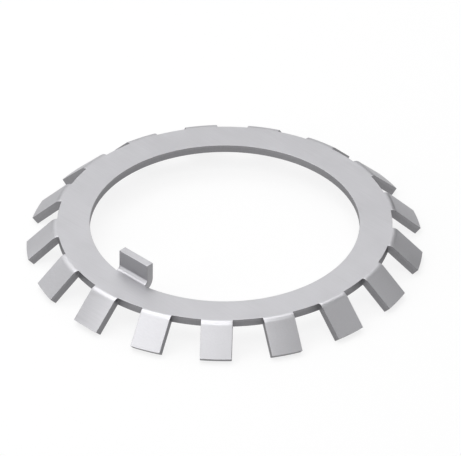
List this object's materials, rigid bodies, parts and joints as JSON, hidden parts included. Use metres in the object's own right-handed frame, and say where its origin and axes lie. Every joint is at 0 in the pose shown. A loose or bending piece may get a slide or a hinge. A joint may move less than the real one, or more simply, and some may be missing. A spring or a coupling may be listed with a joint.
{
  "type": "tab lock washer",
  "caption": "Flat ring washer with sloping tabs round its rim and an upright key tab at the bore, for locking a slotted shaft nut.",
  "frame": {"origin": "centre of the bore in the flat face on the key's side, the face that beds on the bearing", "axes": "+Z along the bore axis, out of that face, the way the key tab stands; -Y from the bore's centre towards the key tab"},
  "size_m": [0.0808, 0.0806, 0.0111],
  "materials": {
    "steel": "satin cold-rolled steel sheet"
  },
  "bodies": {
    "root": {"lock_washer": "steel"}
  },
  "joints": []
}
